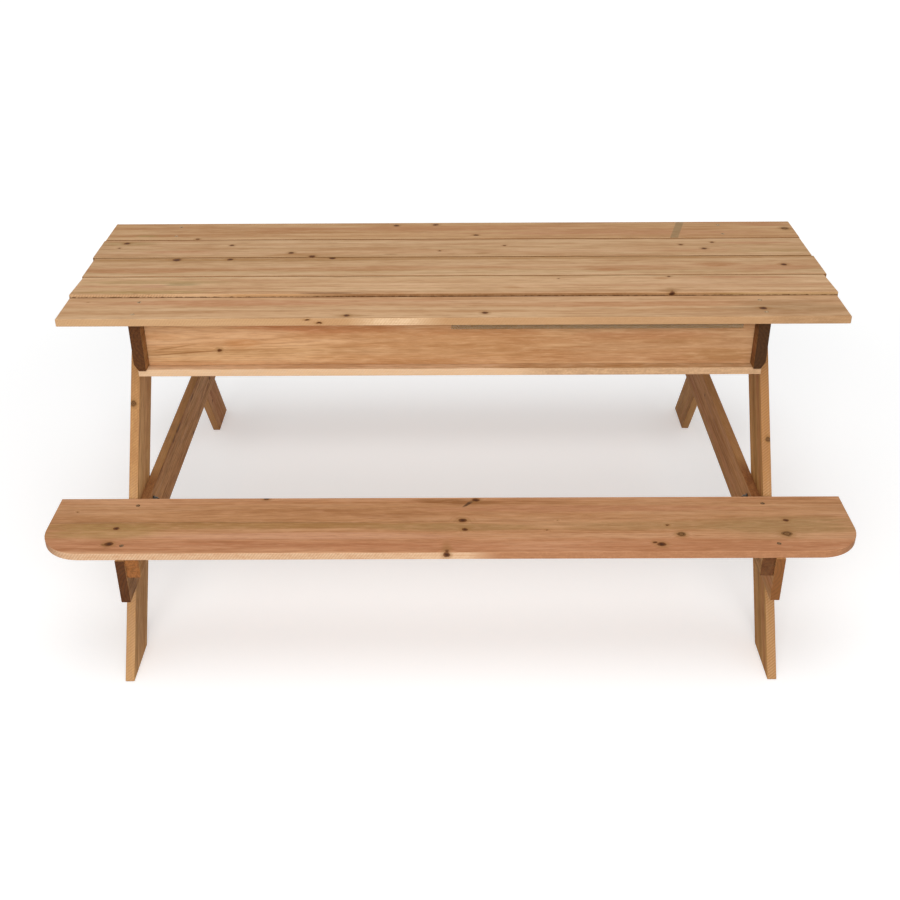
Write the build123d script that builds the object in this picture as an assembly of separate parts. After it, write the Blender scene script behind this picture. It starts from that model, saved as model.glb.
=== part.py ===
from build123d import *
import math
import os

os.makedirs("parts", exist_ok=True)

# Sizes in millimetres. X runs along the planks, the benches are at -Y and +Y, and the floor is at Z = 0.

# Overall sizes
bench_length = 1206.0
top_end_inset = 6.25
top_shift = 5.6
top_height = 505.0
seat_height = 236.0
foot_reach = 442.0
bench_reach = 435.0

# Boards
plank_width = 81.5
plank_thickness = 12.0
plank_gap = 3.0
bench_leg_clearance = 1.0
bench_thickness = 12.0
bench_corner_radius = 62.0
leg_width = 73.0
leg_thickness = 14.0
leg_end_inset = 101.5
leg_top_gap = 19.0
bench_rail_width = 75.0
bench_rail_thickness = 14.0
bench_rail_overhang = 2.0
top_rail_width = 83.0
top_rail_thickness = 18.0
top_rail_setback = 15.75
rail_wane_width = 7.0
rail_wane_height = 12.0
apron_thickness = 14.0
apron_setback = 21.0
floor_thickness = 12.0
floor_setback = 6.0
floor_end_clearance = 3.5
floor_board_count = 4
floor_board_gap = 4.0
cleat_width = 20.0
cleat_height = 32.0
cleat_inset = 1.0
board_edge_round = 1.0

# The rear plank is cut longer than the front one and lies a little along from it
rear_plank_extra = 13.0
rear_plank_shift = -0.3

# Loose lid: its planks lie on the rails and leg tops, and the front one has sprung up along its front edge
lid_extra_rear = 13.5
lid_extra_middle = 11.5
lid_extra_front = 4.0
lid_shift_rear = -1.4
lid_shift_middle = 1.9
lid_shift_front = 0.6
lid_front_spring = 3.8
batten_width = 60.0
batten_thickness = 12.0
batten_end_inset = 5.0
batten_offset = 65.0

# Clear tubs hung on the aprons
tub_wall = 2.0
tub_draft = 4.0
tub_corner_radius = 28.0
tub_bottom_radius = 10.0
tub_end_clearance = 3.0
tub_floor_clearance = 1.0
tub_rim_clearance = 1.0
tub_lip_depth = 13.5
tub_lip_stop = 20.0
tub_lip_clearance = 0.5
tub_slide = 8.25
tub_side_clearance = 2.75
tub_rim_round = 0.8

# Bolts, nuts and washers
bolt_diameter = 6.0
bolt_clearance = 0.3
bolt_head_diameter = 16.0
bolt_head_height = 4.0
bolt_tail = 3.0
washer_diameter = 14.0
washer_thickness = 1.6
nut_across_flats = 10.0
nut_thickness = 5.0
bench_bolt_drop = 17.0
bench_bolt_shift = 8.0

# Nails and screws
nail_diameter = 2.6
nail_head_diameter = 6.5
nail_head_thickness = 1.2
nail_length = 35.0
floor_nail_length = 30.0
cleat_nail_length = 30.0
nail_clearance = 0.15
screw_diameter = 3.6
screw_head_diameter = 7.5
screw_head_thickness = 2.2
apron_screw_length = 45.0
lid_screw_length = 20.0
plank_nail_edge = 18.0
bench_nail_inset = 20.0
lid_screw_spacing = 40.0

# Heights and faces worked out from the sizes above
top_length = bench_length - 2 * top_end_inset
leg_outer_face = bench_length / 2 - leg_end_inset
plank_underside = top_height - plank_thickness
box_floor_top = plank_underside - top_rail_width
bench_underside = seat_height - bench_thickness
bench_rail_bottom = bench_underside - bench_rail_width
leg_inner_face = leg_outer_face - leg_thickness
top_rail_inner_face = leg_inner_face - top_rail_thickness
bench_rail_inner_face = leg_inner_face - bench_rail_thickness
top_half_width = (5 * plank_width + 4 * plank_gap) / 2
top_rail_end = top_half_width - top_rail_setback
apron_face = top_rail_end - apron_setback
apron_top = plank_underside - tub_wall - tub_rim_clearance
floor_edge = top_rail_end - floor_setback
bench_rail_end = bench_reach + bench_rail_overhang
leg_top = plank_underside
tub_rim_end = top_rail_inner_face - tub_end_clearance
tub_centre = (tub_rim_end + tub_end_clearance) / 2
batten_position = tub_centre + batten_offset

# The legs lean so that their tops stay apart by leg_top_gap
lean_reach = foot_reach - leg_top_gap / 2
lean_angle = math.acos(leg_width / math.hypot(lean_reach, leg_top)) - math.atan2(leg_top, lean_reach)
lean_slope = math.tan(lean_angle)
leg_cut = leg_width / math.cos(lean_angle)


def leg_centre(height):
    return foot_reach - leg_cut / 2 - lean_slope * height


# Each bench fills the space from its outer edge to the legs behind it
bench_back = foot_reach - lean_slope * bench_underside + bench_leg_clearance
bench_width = bench_reach - bench_back


def board(x0, x1, y0, y1, z0, z1):
    solid = Box(x1 - x0, y1 - y0, z1 - z0)
    solid = fillet(solid.edges(), board_edge_round)
    return Pos((x0 + x1) / 2, (y0 + y1) / 2, (z0 + z1) / 2) * solid


def stepped_pin(at, direction, steps):
    # Each step is a radius and the two distances from the start point it runs between
    place = Plane(origin=at, z_dir=direction).location
    solid = None
    for radius, start, end in steps:
        piece = place * Pos(0, 0, (start + end) / 2) * Cylinder(radius, end - start)
        solid = piece if solid is None else solid + piece
    return solid


def nail(at, direction, length, diameter, head_diameter, head_thickness):
    return stepped_pin(at, direction, [
        (head_diameter / 2, 0, head_thickness),
        (diameter / 2, head_thickness / 2, length),
    ])


def nail_hole(at, direction, length, diameter, head_diameter, head_thickness):
    return stepped_pin(at, direction, [
        (head_diameter / 2 + nail_clearance, -1, head_thickness),
        (diameter / 2 + nail_clearance, 0, length + nail_clearance),
    ])


def drilled(solid, tools):
    for tool in tools:
        solid = solid - tool
    return solid


# How long each plank is and where its middle lies
fixed_lengths = {"front": top_length, "rear": top_length + rear_plank_extra}
fixed_shifts = {"front": top_shift, "rear": top_shift + rear_plank_shift}
lid_lengths = {
    "front": top_length + lid_extra_front,
    "middle": top_length + lid_extra_middle,
    "rear": top_length + lid_extra_rear,
}
lid_shifts = {
    "front": top_shift + lid_shift_front,
    "middle": top_shift + lid_shift_middle,
    "rear": top_shift + lid_shift_rear,
}

# The pieces are saved moved along so that the middle of the whole lies at X = 0
end_places = [-bench_length / 2, bench_length / 2]
for lengths, shifts in ((fixed_lengths, fixed_shifts), (lid_lengths, lid_shifts)):
    for name in lengths:
        end_places += [shifts[name] - lengths[name] / 2, shifts[name] + lengths[name] / 2]
centred = Pos(-(min(end_places) + max(end_places)) / 2, 0, 0)


def save(solid, name):
    export_step(centred * solid, "parts/" + name + ".step")


def save_group(solids, name):
    export_step(Compound(children=[centred * solid for solid in solids]), "parts/" + name + ".step")


sides = {"left": -1, "right": 1}
ends = {"front": -1, "rear": 1}

# Where every fastener goes: start point, direction and size
plank_nail_size = (nail_length, nail_diameter, nail_head_diameter, nail_head_thickness)
floor_nail_size = (floor_nail_length, nail_diameter, nail_head_diameter, nail_head_thickness)
cleat_nail_size = (cleat_nail_length, nail_diameter, nail_head_diameter, nail_head_thickness)
apron_screw_size = (apron_screw_length, screw_diameter, screw_head_diameter, screw_head_thickness)
lid_screw_size = (lid_screw_length, screw_diameter, screw_head_diameter, screw_head_thickness)

top_rail_middle = top_rail_inner_face + top_rail_thickness / 2
bench_rail_middle = bench_rail_inner_face + bench_rail_thickness / 2
lid_half_width = (3 * plank_width + 2 * plank_gap) / 2

plank_nail_spots = []
bench_nail_spots = []
apron_screw_spots = []
cleat_nail_spots = []
for side in sides.values():
    for end in ends.values():
        outer_nail = end * (top_half_width - plank_nail_edge)
        inner_nail = end * (top_half_width - plank_width + plank_nail_edge)
        for across in (outer_nail, inner_nail):
            plank_nail_spots.append(((side * top_rail_middle, across, top_height), (0, 0, -1)))
        for across in (bench_reach - bench_nail_inset, bench_reach - bench_width + bench_nail_inset):
            bench_nail_spots.append(((side * bench_rail_middle, end * across, seat_height), (0, 0, -1)))
        apron_middle = end * (apron_face - apron_thickness / 2)
        for share in (0.25, 0.65):
            screw_height = box_floor_top + share * top_rail_width
            apron_screw_spots.append(((side * leg_inner_face, apron_middle, screw_height), (-side, 0, 0)))
        for share in (0.3, 0.7):
            cleat_spot = end * (bench_reach - share * bench_width)
            cleat_level = bench_underside - cleat_height / 2
            cleat_face = side * (bench_rail_inner_face - cleat_width)
            cleat_nail_spots.append(((cleat_face, cleat_spot, cleat_level), (side, 0, 0)))

floor_board_width = (2 * floor_edge - (floor_board_count - 1) * floor_board_gap) / floor_board_count
floor_starts = [-floor_edge + i * (floor_board_width + floor_board_gap) for i in range(floor_board_count)]
floor_underside = box_floor_top - floor_thickness
floor_nail_spots = []
for start in floor_starts:
    for share in (0.22, 0.78):
        for side in sides.values():
            across = start + share * floor_board_width
            floor_nail_spots.append(((side * top_rail_middle, across, floor_underside), (0, 0, 1)))

lid_plank_middles = {"front": -(plank_width + plank_gap), "middle": 0.0, "rear": plank_width + plank_gap}
lid_tilts = {"front": math.degrees(math.asin(lid_front_spring / plank_width)), "middle": 0.0, "rear": 0.0}
batten_underside = leg_top - batten_thickness
lid_screw_spots = []
for side in sides.values():
    for across in lid_plank_middles.values():
        for offset in (-lid_screw_spacing / 2, lid_screw_spacing / 2):
            spot = (side * batten_position + 0.3 * offset, across + offset, batten_underside)
            lid_screw_spots.append((spot, (0, 0, 1)))

# Bolts go through a leg and the rail beside it: side, end, height, Y and the rail's inner face
bench_bolt_height = bench_underside - bench_bolt_drop
bench_bolt_across = leg_centre(bench_bolt_height) - bench_bolt_shift
top_bolt_height = box_floor_top + top_rail_width / 2
top_bolt_across = leg_centre(top_bolt_height)
bench_bolt_spots = []
top_bolt_spots = []
for side in sides.values():
    for end in ends.values():
        bench_bolt_spots.append((side, end * bench_bolt_across, bench_bolt_height, bench_rail_inner_face))
        top_bolt_spots.append((side, end * top_bolt_across, top_bolt_height, top_rail_inner_face))


def nails_at(spots, size):
    return [nail(at, direction, *size) for at, direction in spots]


def nail_holes_at(spots, size):
    return [nail_hole(at, direction, *size) for at, direction in spots]


def bolt_hole(side, across, height, rail_face):
    start = (side * (leg_outer_face + 1), across, height)
    reach = leg_outer_face + 2 - rail_face
    return stepped_pin(start, (-side, 0, 0), [(bolt_diameter / 2 + bolt_clearance, 0, reach)])


def carriage_bolt(side, across, height, rail_face):
    reach = leg_outer_face - rail_face + washer_thickness + nut_thickness + bolt_tail
    place = Plane(origin=(side * leg_outer_face, across, height), z_dir=(side, 0, 0)).location
    ball = ((bolt_head_diameter / 2) ** 2 + bolt_head_height ** 2) / (2 * bolt_head_height)
    dome = Pos(0, 0, bolt_head_height - ball) * Sphere(ball)
    keep = Pos(0, 0, bolt_head_height / 2) * Box(bolt_head_diameter, bolt_head_diameter, bolt_head_height)
    shank = Pos(0, 0, -reach / 2) * Cylinder(bolt_diameter / 2, reach)
    return place * ((dome & keep) + shank)


def washer(side, across, height, rail_face):
    place = Plane(origin=(side * rail_face, across, height), z_dir=(-side, 0, 0)).location
    ring = Cylinder(washer_diameter / 2, washer_thickness)
    ring = ring - Cylinder(bolt_diameter / 2 + bolt_clearance, washer_thickness * 2)
    return place * Pos(0, 0, washer_thickness / 2) * ring


def hex_nut(side, across, height, rail_face):
    place = Plane(origin=(side * rail_face, across, height), z_dir=(-side, 0, 0)).location
    corner_radius = nut_across_flats / math.sqrt(3)
    body = extrude(RegularPolygon(corner_radius, 6), nut_thickness)
    cone_top = corner_radius + 0.25
    body = body & Pos(0, 0, nut_thickness / 2) * fillet(
        Cylinder(cone_top, nut_thickness).edges().filter_by(GeomType.CIRCLE), 0.9)
    body = body - Cylinder(bolt_diameter / 2 + bolt_clearance, nut_thickness * 3)
    return place * Pos(0, 0, washer_thickness) * body


# Two fixed top planks
plank_nail_holes = nail_holes_at(plank_nail_spots, plank_nail_size)
for name, end in ends.items():
    near = end * top_half_width
    far = end * (top_half_width - plank_width)
    start = fixed_shifts[name] - fixed_lengths[name] / 2
    plank = board(start, start + fixed_lengths[name], min(near, far), max(near, far), plank_underside, top_height)
    save(drilled(plank, [t for t in plank_nail_holes if t.center().Y * end > 0]), "top_plank_" + name)
save_group(nails_at(plank_nail_spots, plank_nail_size), "top_plank_nails")

# Loose lid of three planks on two battens
lid_screw_holes = nail_holes_at(lid_screw_spots, lid_screw_size)
for name, middle in lid_plank_middles.items():
    start = lid_shifts[name] - lid_lengths[name] / 2
    plank = board(start, start + lid_lengths[name], -plank_width, 0, 0, plank_thickness)
    plank = Pos(0, middle + plank_width / 2, leg_top) * Rot(-lid_tilts[name], 0, 0) * plank
    near_holes = [t for t in lid_screw_holes if abs(t.center().Y - middle) < plank_width / 2]
    save(drilled(plank, near_holes), "lid_plank_" + name)
batten_reach = lid_half_width - batten_end_inset
for name, side in sides.items():
    centre = side * batten_position
    batten = board(centre - batten_width / 2, centre + batten_width / 2,
                   -batten_reach, batten_reach, batten_underside, leg_top)
    save(drilled(batten, [t for t in lid_screw_holes if t.center().X * side > 0]), "lid_batten_" + name)
save_group(nails_at(lid_screw_spots, lid_screw_size), "lid_screws")

# Box under the top: rails at the ends, aprons along the sides and the floor boards
apron_screw_holes = nail_holes_at(apron_screw_spots, apron_screw_size)
floor_nail_holes = nail_holes_at(floor_nail_spots, floor_nail_size)
top_bolt_holes = [bolt_hole(*spot) for spot in top_bolt_spots]
rail_holes = plank_nail_holes + apron_screw_holes + floor_nail_holes + top_bolt_holes
for name, side in sides.items():
    near = side * top_rail_inner_face
    far = side * leg_inner_face
    rail = board(min(near, far), max(near, far), -top_rail_end, top_rail_end, box_floor_top, plank_underside)
    # The lower outer edge is waney: the round of the log cuts it off
    outline = [
        (far - side * rail_wane_width, box_floor_top),
        (far, box_floor_top + rail_wane_height),
        (far + side, box_floor_top + rail_wane_height),
        (far + side, box_floor_top - 1),
        (far - side * rail_wane_width, box_floor_top - 1),
    ]
    wane = make_face(Plane.XZ * Polyline(*outline, close=True))
    rail = rail - extrude(wane, top_rail_end + 1, both=True)
    save(drilled(rail, [t for t in rail_holes if t.center().X * side > 0]), "top_rail_" + name)
for name, end in ends.items():
    near = end * apron_face
    far = end * (apron_face - apron_thickness)
    apron = board(-top_rail_inner_face, top_rail_inner_face, min(near, far), max(near, far),
                  box_floor_top, apron_top)
    save(drilled(apron, [t for t in apron_screw_holes if t.center().Y * end > 0]), "apron_" + name)
save_group(nails_at(apron_screw_spots, apron_screw_size), "apron_screws")
floor_end = leg_inner_face - floor_end_clearance
for number, start in enumerate(floor_starts):
    finish = start + floor_board_width
    plank = board(-floor_end, floor_end, start, finish, floor_underside, box_floor_top)
    save(drilled(plank, [t for t in floor_nail_holes if start < t.center().Y < finish]),
         "floor_board_" + str(number + 1))
save_group(nails_at(floor_nail_spots, floor_nail_size), "floor_nails")

# End frames: slanting legs and the bench rails bolted to them
bench_bolt_holes = [bolt_hole(*spot) for spot in bench_bolt_spots]
for side_name, side in sides.items():
    for end_name, end in ends.items():
        outline = [
            (end * foot_reach, 0),
            (end * (foot_reach - leg_cut), 0),
            (end * (foot_reach - leg_cut - lean_slope * leg_top), leg_top),
            (end * (foot_reach - lean_slope * leg_top), leg_top),
        ]
        profile = make_face(Plane.YZ * Polyline(*outline, close=True))
        leg = extrude(profile, leg_thickness, dir=(1, 0, 0))
        leg = fillet(leg.edges(), board_edge_round)
        start_face = leg_inner_face if side > 0 else -leg_outer_face
        leg = Pos(start_face, 0, 0) * leg
        holes = [t for t in bench_bolt_holes + top_bolt_holes
                 if t.center().X * side > 0 and t.center().Y * end > 0]
        save(drilled(leg, holes), "leg_" + end_name + "_" + side_name)
bench_nail_holes = nail_holes_at(bench_nail_spots, plank_nail_size)
cleat_nail_holes = nail_holes_at(cleat_nail_spots, cleat_nail_size)
bench_rail_holes = bench_bolt_holes + bench_nail_holes + cleat_nail_holes
for name, side in sides.items():
    near = side * bench_rail_inner_face
    far = side * leg_inner_face
    rail = board(min(near, far), max(near, far), -bench_rail_end, bench_rail_end,
                 bench_rail_bottom, bench_underside)
    save(drilled(rail, [t for t in bench_rail_holes if t.center().X * side > 0]), "bench_rail_" + name)

# Benches, rounded at their outer corners, with a cleat under each end
for name, end in ends.items():
    middle = end * (bench_reach - bench_width / 2)
    bench = Box(bench_length, bench_width, bench_thickness)
    outer_corners = bench.edges().filter_by(Axis.Z).group_by(Axis.Y)[-1 if end > 0 else 0]
    bench = fillet(outer_corners, bench_corner_radius)
    rims = bench.faces().sort_by(Axis.Z)
    bench = fillet(rims[0].edges() + rims[-1].edges(), board_edge_round)
    bench = Pos(0, middle, seat_height - bench_thickness / 2) * bench
    save(drilled(bench, [t for t in bench_nail_holes if t.center().Y * end > 0]), "bench_" + name)
    for side_name, side in sides.items():
        near = side * bench_rail_inner_face
        far = side * (bench_rail_inner_face - cleat_width)
        outer = end * (bench_reach - cleat_inset)
        inner = end * (bench_reach - bench_width + cleat_inset)
        cleat = board(min(near, far), max(near, far), min(outer, inner), max(outer, inner),
                      bench_underside - cleat_height, bench_underside)
        holes = [t for t in cleat_nail_holes if t.center().X * side > 0 and t.center().Y * end > 0]
        save(drilled(cleat, holes), "cleat_" + name + "_" + side_name)
save_group(nails_at(bench_nail_spots, plank_nail_size), "bench_nails")
save_group(nails_at(cleat_nail_spots, cleat_nail_size), "cleat_nails")

# Carriage bolts with their nuts and washers
all_bolt_spots = bench_bolt_spots + top_bolt_spots
save_group([carriage_bolt(*spot) for spot in bench_bolt_spots], "bench_rail_bolts")
save_group([carriage_bolt(*spot) for spot in top_bolt_spots], "top_rail_bolts")
save_group([washer(*spot) for spot in all_bolt_spots], "bolt_washers")
save_group([hex_nut(*spot) for spot in all_bolt_spots], "bolt_nuts")

# Two clear tubs: the rims lie on the aprons and turn down outside them
nut_room = washer_thickness + nut_thickness + bolt_tail + tub_end_clearance
tub_length = tub_rim_end - tub_end_clearance
tub_wall_length = tub_length - 2 * nut_room
tub_rim_reach = apron_face + tub_lip_clearance + tub_wall + tub_slide
tub_wall_reach = apron_face - apron_thickness - tub_side_clearance - tub_slide
rim_top = apron_top + tub_wall
tub_bottom = box_floor_top + tub_floor_clearance
tub_depth = rim_top - tub_bottom


def tub_block(inset, depth, bottom_radius):
    outline = RectangleRounded(tub_wall_length - 2 * inset, 2 * (tub_wall_reach - inset), tub_corner_radius - inset)
    block = extrude(outline, -depth, taper=tub_draft)
    return fillet(block.faces().sort_by(Axis.Z)[0].edges(), bottom_radius)


def tub(outer):
    rim = Pos(0, 0, -tub_wall / 2) * Box(tub_length, 2 * tub_rim_reach, tub_wall)
    body = tub_block(0, tub_depth, tub_bottom_radius) + rim
    lip_height = tub_lip_depth
    for end in ends.values():
        middle = end * (tub_rim_reach - tub_wall / 2)
        lip = Box(tub_length - tub_lip_stop, tub_wall, lip_height)
        body = body + Pos(-outer * tub_lip_stop / 2, middle, -lip_height / 2) * lip
    outer_edges = body.edges().filter_by(Axis.X).group_by(Axis.Z)[-1]
    body = fillet(outer_edges.sort_by(Axis.Y)[0:1] + outer_edges.sort_by(Axis.Y)[-1:], tub_rim_round)
    return body - tub_block(tub_wall, tub_depth - tub_wall, tub_bottom_radius - tub_wall)


save(Pos(-tub_centre, tub_slide, rim_top) * tub(-1), "sand_tub")
save(Pos(tub_centre, -tub_slide, rim_top) * tub(1), "water_tub")
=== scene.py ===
import bpy
import math
from mathutils import Matrix, Vector


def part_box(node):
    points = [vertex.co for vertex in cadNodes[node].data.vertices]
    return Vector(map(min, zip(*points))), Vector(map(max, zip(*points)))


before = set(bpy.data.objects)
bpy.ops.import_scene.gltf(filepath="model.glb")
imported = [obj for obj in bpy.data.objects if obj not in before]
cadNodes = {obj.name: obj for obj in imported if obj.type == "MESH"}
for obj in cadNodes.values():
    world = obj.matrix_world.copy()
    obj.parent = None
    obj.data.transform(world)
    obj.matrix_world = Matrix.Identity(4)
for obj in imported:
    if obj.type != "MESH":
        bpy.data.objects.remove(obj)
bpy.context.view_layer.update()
scene = bpy.context.scene
scene.view_settings.view_transform = "Standard"
print("frame loaded:", len(cadNodes), "nodes")

mm = 0.001
white = (1, 1, 1, 1)


# sRGB hex to linear
def linear(hexColour):
    parts = [int(hexColour[i:i + 2], 16) / 255 for i in (1, 3, 5)]
    return [c / 12.92 if c <= 0.04045 else ((c + 0.055) / 1.055) ** 2.4 for c in parts] + [1.0]


# adds one node: settings are its own properties, the values of its sockets or the stops of a colour ramp
def addNode(tree, kind, settings=None, links=None):
    node = tree.nodes.new(kind)
    for key, value in (settings or {}).items():
        if key == "stops":
            stops = node.color_ramp.elements
            for place, colour in value[1:-1]:
                stops.new(place).color = colour
            stops[0].position, stops[0].color = value[0]
            stops[-1].position, stops[-1].color = value[-1]
        elif isinstance(key, str) and hasattr(node, key):
            setattr(node, key, value)
        else:
            node.inputs[key].default_value = value
    for key, source in (links or {}).items():
        tree.links.new(source, node.inputs[key])
    return node


def newMaterial(name):
    material = bpy.data.materials.new(name)
    material.use_nodes = True
    material.node_tree.nodes.clear()
    return material, material.node_tree


def giveMaterial(nodeName, material):
    slots = cadNodes[nodeName].data.materials
    for i in range(len(slots)):
        slots[i] = material
    if not len(slots):
        slots.append(material)


# planed and sawn softwood, raw: the rings run as long soft streaks on the faces,
# as arcs on the ends, and the sawn edges are paler with slanting saw marks
softwood = {
    "ringWidth": 2.6,        # one year's growth
    "ringProfile": [(0.0, 0.05), (0.55, 0.12), (0.86, 1.0), (1.0, 0.1)],    # late wood across one ring
    "wander": 8.0,           # how far the rings stray sideways
    "streaks": {"band": 0.75, "blotch": 0.95, "shift": -0.34},
    "bodyStops": (0.30, 0.5, 0.70),
    "ragged": 4.2,           # how uneven the rims of the knots are
    "rimSize": 6.0,
    "knotDepth": 4.0,        # in knot radii, how far a knot goes into the board
    "knotPush": {"From Min": 3.6, "From Max": 0.4, "To Max": 1.7},    # rings pushed aside, by knot radii
    "sawPitch": 4.5,         # from one saw mark to the next, drawn wider than real to show
    "sawSlant": -0.75,
    "sawWaver": 1.2,
    "gritSize": 3.6,
    "gritWeight": 0.6,
    "specular": 0.18,
    "roughness": (0.62, 0.82),
    "relief": 0.35,
    "reliefDepth": 0.5,
    "reliefWeights": {"late": 0.35, "saw": 0.9},
}
# cloudy patterns stretched along the board: length, width, shift by the seed, detail, roughness
softwoodClouds = {
    "stray": (360.0, 34.0, (1.0, 1.7, 0.3), 2.0, 0.5),
    "blotch": (210.0, 16.0, (2.3, 1.0, 0.0), 3.0, 0.6),
    "fibre": (130.0, 4.5, (0.0, 0.0, 0.0), 2.0, 0.5),      # real fibres are finer, drawn this coarse to show
    "grain": (24.0, 2.6, (1.1, 0.7, 0.0), 3.0, 0.6),       # short flecks between the fibres
    "smudge": (44.0, 8.0, (0.9, 1.9, 0.0), 4.0, 0.62),     # cloudy patches left by weather and hands
}
# streaks that follow the rings: streaks in one ring, shift by the seed, start, detail, roughness
ringStreaks = {"band": (0.2, 3.1, 0.0, 2.5, 0.55), "tint": (0.11, 5.3, 20.0, 1.5, 0.5)}
# thin layers of tone: tone, pattern, where the pattern starts and is full, strength, share in the wood
underMarks = [("olive", "tint", 0.56, 0.72, 1.0, "oliveShare"),
              ("rose", "tint", 0.44, 0.30, 1.0, "roseShare"),
              ("late", "lateWood", 0.0, 1.0, 1.0, "lateShare"),
              ("late", "fibre", 0.48, 0.75, 1.0, "fibreShare")]
overMarks = [("late", "grain", 0.50, 0.72, 0.46, "fleckShare"),
             ("pale", "grain", 0.47, 0.26, 0.50, "fleckShare"),
             ("late", "smudge", 0.53, 0.75, 0.42, "fleckShare"),
             ("pale", "smudge", 0.47, 0.25, 0.55, "fleckShare")]
# layers of a knot from outside in: tone, where it starts and is full in knot radii, strength
deadKnotMarks = [("halo", 2.4, 0.8, 0.55), ("knot", 1.15, 0.8, 0.92), ("core", 0.85, 0.3, 0.8)]
liveKnotMarks = [("halo", 2.2, 0.9, 0.55), ("rings", 1.1, 0.85, 1.0)]
knotColours = {"knot": "#643818", "core": "#321606", "halo": "#946A3C", "ring": "#5A3A1C",
               "heart": "#805A34"}
liveKnotTurns = 13.0    # sets how many rings a living knot shows

topWood = {
    "deep": "#B3865D", "mid": "#C29B72", "pale": "#D0AC85", "late": "#94683F",
    "olive": "#A58A5C", "rose": "#BC8660", "sawn": "#D8B084", "end": "#94683E", "endRing": "#6E4826",
    "oliveShare": 0.24, "roseShare": 0.28, "lateShare": 0.2, "fibreShare": 0.34, "fleckShare": 0.72,
}
benchWood = {
    "deep": "#A9714A", "mid": "#BF8961", "pale": "#CE9C75", "late": "#8E5D3A",
    "olive": "#A0804E", "rose": "#B87A58", "sawn": "#D6A882", "end": "#8A5A36", "endRing": "#6A4224",
    "oliveShare": 0.28, "roseShare": 0.5, "lateShare": 0.28, "fibreShare": 0.34, "fleckShare": 0.75,
}
frameWood = {
    "deep": "#AE7E50", "mid": "#C69868", "pale": "#D3AA7C", "late": "#94663C",
    "olive": "#A08252", "rose": "#BC8258", "sawn": "#D2A06C", "end": "#7A5028", "endRing": "#553416",
    "oliveShare": 0.30, "roseShare": 0.45, "lateShare": 0.38, "fibreShare": 0.34, "fleckShare": 1.0,
}
legWood = {
    "deep": "#9C6A3A", "mid": "#B8864E", "pale": "#C59860", "late": "#835426",
    "olive": "#92723C", "rose": "#B07044", "sawn": "#C49662", "end": "#5C3616", "endRing": "#341C0A",
    "oliveShare": 0.30, "roseShare": 0.45, "lateShare": 0.38, "fibreShare": 0.34, "fleckShare": 1.0,
}

# what a board looks like unless its own look says otherwise; places are in mm from the board's middle
plainBoard = {
    "along": (1, 0, 0), "across": (0, 1, 0), "tilt": (0.0, 0.0),    # tilt of the pith in degrees
    "edgePale": 0.55, "mottle": 0.5, "sawMarks": 0.25,
    "endDark": 0.8, "endRings": 0.6, "endFleck": 0.3,
    "seamTop": 100.0,                        # how far up the shade of a seam reaches
    "knots": [], "liveKnots": [],            # along, across, radius
    "edgeKnots": [], "liveEdgeKnots": [],    # along, across, through, radius, length in radii
    "stains": [],                            # along, across, half length, half width, colour, strength, turn
    "stripes": [],                           # axis, place on it, lean, half width, colour, strength
    "edgeStains": [],                        # along, half length, colour, strength
}
knotLength = {"knots": 1.25, "liveKnots": 1.2}    # in knot radii
stripeFade = 0.8                                  # in mm, like the next two
edgeStainFade = 25.0
seamFade = 0.7
sawFade = (0.7, 1.3)                              # in half lengths of the sawn stretch
stainFray = (1.6, -0.8)                           # how the blotches move a stain's rim
stainRim = {"From Min": 1.1, "From Max": 0.45}
seamFacing = {"From Min": -0.55, "From Max": -0.9, "To Max": 0.9}
waveLength = 2 * math.pi / 20                     # of the wave texture at scale 1


def stretchedCloud(tree, name, seed, source):
    length, width, shift, detail, rough = softwoodClouds[name]
    place = addNode(tree, "ShaderNodeMapping", {
        "Location": [seed * s for s in shift], "Scale": [1 / (size * mm) for size in (length, width, width)],
    }, {"Vector": source})
    return addNode(tree, "ShaderNodeTexNoise", {"Scale": 1.0, "Detail": detail, "Roughness": rough},
                   {"Vector": place.outputs[0]})


# full strength near a place on the board, fading out beside it
def stretchMask(tree, distance, place, fullTo, goneAt, strength=1.0):
    offset = addNode(tree, "ShaderNodeMath", {"operation": "SUBTRACT", 1: place * mm}, {0: distance})
    reach = addNode(tree, "ShaderNodeMath", {"operation": "ABSOLUTE"}, {0: offset.outputs[0]})
    return addNode(tree, "ShaderNodeMapRange",
                   {"From Min": goneAt * mm, "From Max": fullTo * mm, "To Max": strength},
                   {"Value": reach.outputs[0]}).outputs[0]


def markLayers(tree, marks, wood, pattern):
    layers = []
    for tone, name, start, full, strength, share in marks:
        mask = addNode(tree, "ShaderNodeMapRange",
                       {"From Min": start, "From Max": full, "To Max": strength * wood[share]},
                       {"Value": pattern[name]})
        layers.append((wood[tone], mask.outputs[0]))
    return layers


# distance to the nearest of some knots, in knot radii
def nearestKnot(tree, knots, source):
    nearest = None
    for place, radii in knots:
        scale = [1 / (r * mm) for r in radii]
        spot = addNode(tree, "ShaderNodeMapping", {
            "Location": [-p * mm * s for p, s in zip(place, scale)], "Scale": scale,
        }, {"Vector": source})
        reach = addNode(tree, "ShaderNodeVectorMath", {"operation": "LENGTH"},
                        {0: spot.outputs[0]}).outputs["Value"]
        if nearest:
            reach = addNode(tree, "ShaderNodeMath", {"operation": "MINIMUM"},
                            {0: nearest, 1: reach}).outputs[0]
        nearest = reach
    return nearest


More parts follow.
